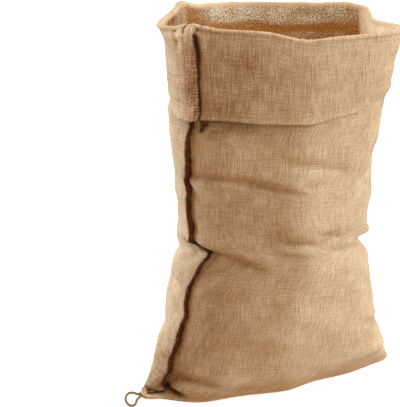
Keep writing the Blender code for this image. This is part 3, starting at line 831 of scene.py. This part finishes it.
# Painted shade as browner cloth in soft patches, and on the flap, which lies in shade.
painted_brown_shade = (on_wall | on_cuff) * patches(round_u, height, PAINTED_BROWN_SHADE)
painted_brown_shade = painted_brown_shade + inside * patches(round_u, height, INNER_POCKET_SHADE)
on_flap = soft(edge / 0.12) * fall(edge, 1.1, 0.1) * rise(below_rim, 0.022, 0.02)
painted_brown_shade = painted_brown_shade + on_cuff * on_flap * (0.36 + 0.20 * np.clip(edge, 0.0, 1.0))
for name, grid in (("painted_brown_shade", painted_brown_shade), ("painted_shade", painted_shade), ("backlit", backlit),
                   ("open_weave", open_weave), ("sunlit", sunlit)):
    values = sack.data.attributes.new(name, "FLOAT", "POINT")
    on_points = np.broadcast_to(grid, (rows, around)).reshape(-1)[used]
    values.data.foreach_set("value", on_points.astype(np.float32))
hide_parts("sack_cloth")

# ------------------------ turned end of the bottom seam
# At its left corner the sewn bottom seam is rolled forward on the floor: two layers of the same jute, pressed
# flat, that run under the sack's front edge, with a cloth edge in the slit above.  The seam's twine overcasts
# the panel's end over it.
#   x, y, z of its middle, half width, half height
SEAM_END = (
    (-0.267, 0.0715, 0.016, 0.004, 0.003), (-0.2718, 0.066, 0.0136, 0.0062, 0.0044),
    (-0.2762, 0.0585, 0.009, 0.0068, 0.0046), (-0.2775, 0.05, 0.0062, 0.0066, 0.0044),
    (-0.2665, 0.0425, 0.0048, 0.0066, 0.0042), (-0.249, 0.0395, 0.0046, 0.0072, 0.0044),
    (-0.231, 0.029, 0.0044, 0.0078, 0.0042), (-0.213, 0.0175, 0.004, 0.007, 0.0038),
    (-0.195, 0.0065, 0.0034, 0.0055, 0.0032), (-0.178, -0.0015, 0.0026, 0.003, 0.0024),
)
SEAM_END_STEPS, SEAM_END_ROUND = 90, 28  # points along it and round it
SEAM_END_LENGTH, SEAM_END_RADIUS = 0.13, 0.0064  # as its weave is laid out


def flattened_roll(line, steps, around):
    """Points and faces of a rolled strip: ovals lying level across a smooth line, each with its own width and
    height, pressed in along their middle, a little uneven, and drawn to a point at both ends."""
    route = spline_through(line, steps)
    path, wide, high = route[:, :3], route[:, 3:4], route[:, 4:5]
    run = np.gradient(path, axis=0)
    side = np.stack((run[:, 1], -run[:, 0], 0.0 * run[:, 0]), -1)
    side /= np.linalg.norm(side, axis=1, keepdims=True)
    a = np.linspace(0.0, 2.0 * np.pi, around, endpoint=False)[None, :]
    t = np.linspace(0.0, 1.0, steps)[:, None]
    ends = np.sqrt(np.clip(np.minimum(t, 1.0 - t) / 0.05, 0.0, 1.0))
    uneven = 1.0 + 0.10 * np.sin(23.0 * t + 2.0 * a) + 0.06 * np.sin(61.0 * t - a)
    across = wide * np.cos(a) * ends * uneven
    upwards = high * np.sin(a) * ends * (1.0 - 0.35 * np.exp(-((np.cos(a) - 0.1) / 0.25) ** 2))
    grid = path[:, None] + across[..., None] * side[:, None]
    grid[..., 2] = np.maximum(grid[..., 2] + upwards, 0.0004)
    return grid.reshape(-1, 3), ring_faces(steps, around)


seam_end_points, corners = flattened_roll(SEAM_END, SEAM_END_STEPS, SEAM_END_ROUND)
seam_end = piece("bottom_seam_rolled_end", seam_end_points, corners, jute, "woven_jute")
angle = np.linspace(0.0, 2.0 * np.pi, SEAM_END_ROUND, endpoint=False)
run_along = np.repeat(np.linspace(0.0, SEAM_END_LENGTH, SEAM_END_STEPS), SEAM_END_ROUND)
run_round = np.tile(SEAM_END_RADIUS * angle, SEAM_END_STEPS)
lay_weave(seam_end, run_along[corners], run_round[corners])

# The cloth edge in the slit.
#   distance round from the seam, height
SLIT_FOLD = ((-0.010, 0.0072), (-0.002, 0.0074), (0.008, 0.0075), (0.018, 0.0084))
STITCH = 0.0016  # diameter of the overcasting
FIRST_STITCH, STITCH_STEP = -0.014, 0.0052  # place round from the seam, and spacing
#   aside, height, out of the cloth
STITCH_LINE = ((0.0012, 0.0165, 0.0004), (0.0, 0.0205, 0.0012), (-0.0016, 0.0245, 0.0002))


def on_cloth(s, z, out=0.0):
    """A place on the sack's outer face, by distance round from the seam and by height, moved outwards."""
    j = int(np.argmin(np.abs(from_seam(round_u) - s)))
    i = OUTER_FLOOR_ROWS + int(np.argmin(np.abs(outer_face[wall_rows, j, 2] - z)))
    return outer_face[i, j] - to_part + out * normals_of(outer)[i, j]


def joined(parts):
    """One array of points and one of faces from many pairs of them."""
    starts = np.cumsum([0] + [len(points) for points, faces in parts])
    return (np.concatenate([points for points, faces in parts]),
            np.concatenate([faces + start for (points, faces), start in zip(parts, starts)]))


fold_line = [(*on_cloth(s, z, 0.0030), 0.0016, 0.0011) for s, z in SLIT_FOLD]
slit_fold = piece("cloth_edge_in_corner_slit", *flattened_roll(fold_line, 24, 10), jute, "woven_jute")
stitches = []
for at in FIRST_STITCH + STITCH_STEP * np.arange(8):
    over = [on_cloth(at + aside, z, out) for aside, z, out in STITCH_LINE]
    stitches.append(tube(spline_through(over, 8), STITCH / 2.0, 8))
piece("overcast_stitches", *joined(stitches), twine, "jute_twine")

# ------------------------ frayed yarns under the cuff
# Where the turned seam ends at the cuff's edge, six brown yarns have come out of the weave and hang down.
# Their dark brown is also painted shade, for the shadow under the cuff's lifted edge there.
YARN = 0.0034  # diameter of a pulled yarn
YARN_TOP = 0.58  # height it leaves the weave at
YARN_DARK, YARN_PALE = "#3E1C0A", "#744A26"
#   distance round from the seam at its top, and at its tip, how far it hangs
YARN_ENDS = ((0.022, 0.0230, 0.026), (0.025, 0.0240, 0.022), (0.030, 0.0255, 0.025), (0.035, 0.0285, 0.018),
             (0.040, 0.0330, 0.014), (0.027, 0.0270, 0.016))
frayed = spun_jute("brown_jute_yarn", YARN_DARK, YARN_PALE, 500.0)
yarns = []
for k, (top, tip, drop) in enumerate(YARN_ENDS):
    t = np.linspace(0.0, 1.0, 9)
    u = (top + (tip - top) * t ** 1.3 + 0.0010 * np.sin(5.0 * t + 2.0 * k)) / AROUND
    z = YARN_TOP - drop * t
    out = 0.0120 - 0.0050 * t + 0.0008 * np.sin(7.0 * t + k)
    yarns.append(tube(wall_at(u, z, out) - (*CENTRE, 0.0), YARN / 2.0, 7))
piece("frayed_seam_yarns", *joined(yarns), frayed, "jute_twine")

# ------------------------ loose fibres
# Jute is hairy: short pale bast fibres stand off the rim, the cuff's edge, the seam's lip and, fewer, off the
# rest of the cloth.  They soften its outline.
FIBRE = 0.00032  # thickness drawn, about three times the real one, which is too fine to show
FIBRE_DARK, FIBRE_PALE = "#B08E66", "#E6CFA8"
FIBRE_BENDS, FIBRE_SIDES = 4, 3


def fibres(roots, normals, count, seed):
    """Curved hairs, 4 to 13 mm long, on chosen roots: each leaves along its normal turned by a random amount,
    and droops; a three-sided tube that thins to its tip."""
    rng = np.random.default_rng(seed)
    pick = rng.integers(0, len(roots), count)
    root, way = roots[pick], normals[pick] + rng.normal(0.0, 0.55, (count, 3))
    way /= np.linalg.norm(way, axis=1, keepdims=True)
    length = rng.uniform(0.004, 0.013, (count, 1))
    bend = rng.normal(0.0, 0.35, (count, 3)) + (0.0, 0.0, -0.25)
    t = np.linspace(0.0, 1.0, FIBRE_BENDS)
    path = (root[:, None] - 0.0005 * way[:, None] + length[:, None] * t[None, :, None] * way[:, None]
            + length[:, None] * (t ** 2)[None, :, None] * bend[:, None])
    side = np.cross(way, (0.3, 0.5, 0.8))
    side /= np.linalg.norm(side, axis=1, keepdims=True)
    other = np.cross(way, side)
    a = np.arange(FIBRE_SIDES) * 2.0 * np.pi / FIBRE_SIDES
    thick = (FIBRE / 2.0 * (1.0 - 0.7 * t))[None, :, None, None]
    circle = np.cos(a)[:, None] * side[:, None, None] + np.sin(a)[:, None] * other[:, None, None]
    points = path[:, :, None] + thick * circle
    one = ring_faces(FIBRE_BENDS, FIBRE_SIDES)
    faces = one[None] + (np.arange(count) * FIBRE_BENDS * FIBRE_SIDES)[:, None, None]
    return points.reshape(-1, 3), faces.reshape(-1, 4)


def rows_of(grid, ways, first, last):
    """The places and normals of some rows of a grid, as lists."""
    return (grid[first:last] - to_part).reshape(-1, 3), ways[first:last].reshape(-1, 3)


inner_way, outer_way = -normals_of(inner), normals_of(outer)
near_lip = np.abs(groove_place(round_u, outer_heights[:, None] + 0.0 * round_u)) < 0.004
#   the cuff's edge, the rim, the seam's lip, the wall, the cuff: roots, their normals, how many fibres
places = ((*rows_of(inner_face, inner_way, -2, None), 260),
          (*rows_of(inner_face, inner_way, inside_rows + 3, inside_rows + 8), 200),
          ((outer_face - to_part)[wall_rows][near_lip], outer_way[wall_rows][near_lip], 60),
          (*rows_of(outer_face, outer_way, 30, 180), 260),
          (*rows_of(inner_face, inner_way, inside_rows + 12, -3), 160))
hairs = [fibres(roots, ways, number, 50 + seed) for seed, (roots, ways, number) in enumerate(places)]
pale_fibre = spun_jute("loose_jute_fibre", FIBRE_DARK, FIBRE_PALE, 300.0)
piece("loose_jute_fibres", *joined(hairs), pale_fibre, "woven_jute")

# ------------------------ floor and studio light
# A plain white floor that gives the cloth no white from below, and a warm even fill, with three broad soft
# lights: one far round on the right and one behind on the left, so the cloth between them stays brown, and a
# weak one high up behind.
FLOOR = 60.0  # half its side
white = finish_of("white_floor", {"Base Color": (0.9, 0.9, 0.9, 1.0), "Roughness": 1.0,
                                  "Emission Color": (1.0, 1.0, 1.0, 1.0), "Emission Strength": 0.62})[0]
square = FLOOR * np.array(((-1.0, -1.0, 0.0), (1.0, -1.0, 0.0), (1.0, 1.0, 0.0), (-1.0, 1.0, 0.0)))
floor = bpy.data.objects.new("floor", mesh_from("floor", square, np.array(((0, 1, 2, 3),))))
floor.data.materials.append(white)
bpy.context.collection.objects.link(floor)
floor.visible_diffuse = False
floor.visible_glossy = False
floor.visible_shadow = False

HORIZON, FILL = "#F4F1EC", "#FFD39E"
FILL_STRENGTH = 0.52
world = bpy.data.worlds.new("studio")
world.use_nodes = True
sky = world.node_tree
direction = add(sky, "TexCoord", out=0)
level = add(sky, "SeparateXYZ", (direction,), out=2)
level = add(sky, "Math", (level,), operation="ABSOLUTE")
level = add(sky, "MapRange", {"Value": level, "From Min": 0.10, "From Max": 0.16})
background = sky.nodes["Background"]
sky.links.new(add(sky, "MixRGB", (level, HORIZON, FILL)), background.inputs["Color"])
background.inputs["Strength"].default_value = FILL_STRENGTH
bpy.context.scene.world = world
bpy.context.scene.view_settings.view_transform = "Standard"

CAMERA_BEARING = np.degrees(np.arctan2(CAMERA_AT.y, CAMERA_AT.x))
#   name, degrees round from the camera's side to the right, degrees above the floor, spread, colour, strength
for name, turn, above, spread, colour, strength in (
        ("right light", 72.0, 24.0, 50.0, "#D8EEFF", 3.6), ("left light", -108.0, 22.0, 35.0, "#C8E4FF", 4.5),
        ("top light", 180.0, 72.0, 40.0, "#FFF4E4", 0.9)):
    light = bpy.data.objects.new(name, bpy.data.lights.new(name, "SUN"))
    light.data.angle = np.radians(spread)
    light.data.color = linear(colour)[:3]
    light.data.energy = strength
    round_by, up_by = np.radians(CAMERA_BEARING + turn), np.radians(above)
    towards = Vector((np.cos(round_by) * np.cos(up_by), np.sin(round_by) * np.cos(up_by), np.sin(up_by)))
    light.rotation_euler = towards.to_track_quat("Z", "Y").to_euler()
    bpy.context.collection.objects.link(light)
